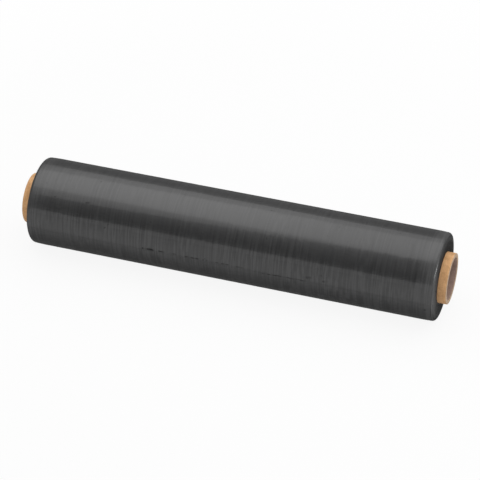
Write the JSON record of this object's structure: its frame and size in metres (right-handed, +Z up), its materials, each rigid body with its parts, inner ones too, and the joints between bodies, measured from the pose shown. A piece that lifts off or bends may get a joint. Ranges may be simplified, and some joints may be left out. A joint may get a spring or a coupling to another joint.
{
  "type": "stretch wrap roll",
  "caption": "Roll of black stretch wrap film wound on a longer hollow paperboard core, lying on its side.",
  "frame": {"origin": "on the surface that the roll lies on, below the middle of the core's length", "axes": "+X along the roll towards its right end, where the core stands out less; +Z up; -Y is the front, where the film's free edge lies"},
  "size_m": [0.5236, 0.106, 0.1053],
  "materials": {
    "paperboard": "matte",
    "black_film": "satin"
  },
  "bodies": {
    "root": {"core_tube": "paperboard", "film_roll": "black_film"}
  },
  "joints": []
}
